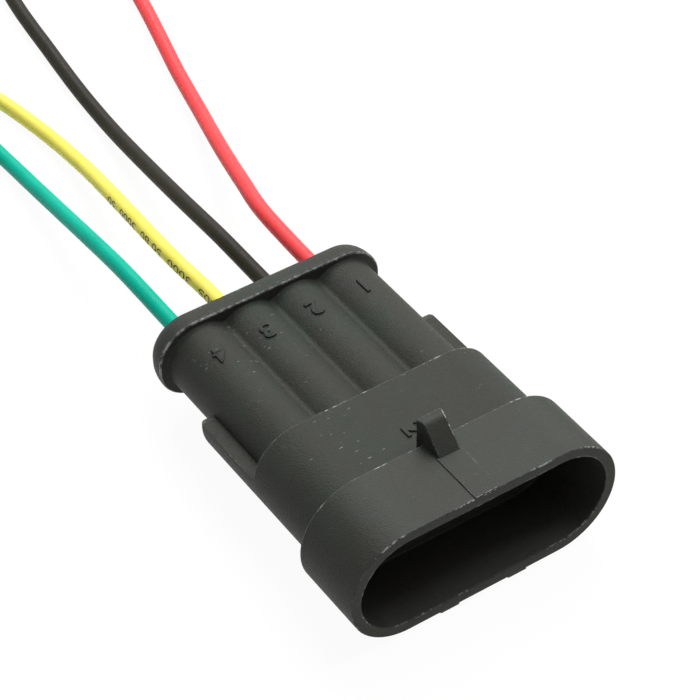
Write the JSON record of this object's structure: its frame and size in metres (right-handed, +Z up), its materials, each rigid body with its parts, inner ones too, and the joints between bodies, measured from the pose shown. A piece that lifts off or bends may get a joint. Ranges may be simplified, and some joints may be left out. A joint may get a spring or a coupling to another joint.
{
  "type": "sealed automotive connector",
  "caption": "Sealed automotive connector, male-tab half: oval shrouded housing with a latch ramp, merged wire barrels, a slide-in secondary lock plate and loose wire leads.",
  "frame": {"origin": "on the surface that the connector stands on, below the middle of its housing", "axes": "-Y out of the mating mouth, +Y along the wires as they leave, +Z up through the latch ramp, +X towards circuit 1 (red)"},
  "size_m": [0.0463, 0.1411, 0.0174],
  "materials": {
    "housing_plastic": "moulded black polyamide, fine matte",
    "lock_plastic": "moulded dark red",
    "tinned_brass": "bright tin plate",
    "seal_rubber": "silicone",
    "copper_strand": "tinned copper strands",
    "insulation_red": "satin",
    "insulation_black": "satin",
    "insulation_yellow": "satin",
    "insulation_green": "satin"
  },
  "bodies": {
    "connector": {"housing": "housing_plastic", "tab_contact_1": "tinned_brass", "tab_contact_2": "tinned_brass", "tab_contact_3": "tinned_brass", "tab_contact_4": "tinned_brass", "wire_seal_1": "seal_rubber", "wire_seal_2": "seal_rubber", "wire_seal_3": "seal_rubber", "wire_seal_4": "seal_rubber", "wire_red": "insulation_red", "wire_black": "insulation_black", "wire_yellow": "insulation_yellow", "wire_green": "insulation_green", "crimped_core_red": "copper_strand", "crimped_core_black": "copper_strand", "crimped_core_yellow": "copper_strand", "crimped_core_green": "copper_strand", "bare_end_red": "copper_strand", "bare_end_black": "copper_strand", "bare_end_yellow": "copper_strand", "bare_end_green": "copper_strand"},
    "secondary_lock": {"secondary_lock": "lock_plastic"}
  },
  "joints": [
    {"name": "secondary_lock_slide", "type": "slide", "parent": "connector", "child": "secondary_lock", "axis": [0, -1, 0], "range_m": [0, 0.0016]}
  ]
}
